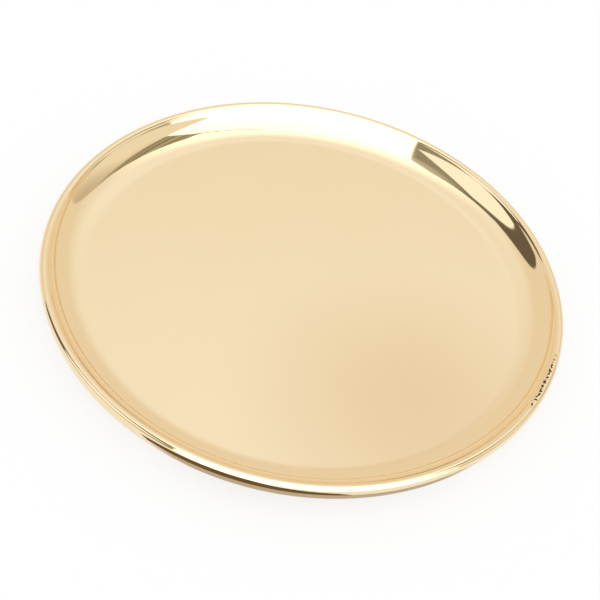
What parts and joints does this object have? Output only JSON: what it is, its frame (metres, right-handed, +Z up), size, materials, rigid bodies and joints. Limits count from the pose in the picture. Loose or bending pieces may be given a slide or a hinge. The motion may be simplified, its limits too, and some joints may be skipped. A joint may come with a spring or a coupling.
{
  "type": "candle plate",
  "caption": "Round polished brass candle plate with a low thick rim, a rounded lip and felt pads underneath.",
  "frame": {"origin": "on the table, at the plate's centre, under the felt pads", "axes": "+Z up along the plate's axis of revolution; the pads lie on the diagonals between +X and +Y"},
  "size_m": [0.15, 0.15, 0.01],
  "materials": {
    "polished_brass": "cast, turned, mirror polished and lacquered",
    "felt": "pressed wool felt"
  },
  "bodies": {
    "root": {"plate": "polished_brass", "felt_pad_1": "felt", "felt_pad_2": "felt", "felt_pad_3": "felt", "felt_pad_4": "felt"}
  },
  "joints": []
}
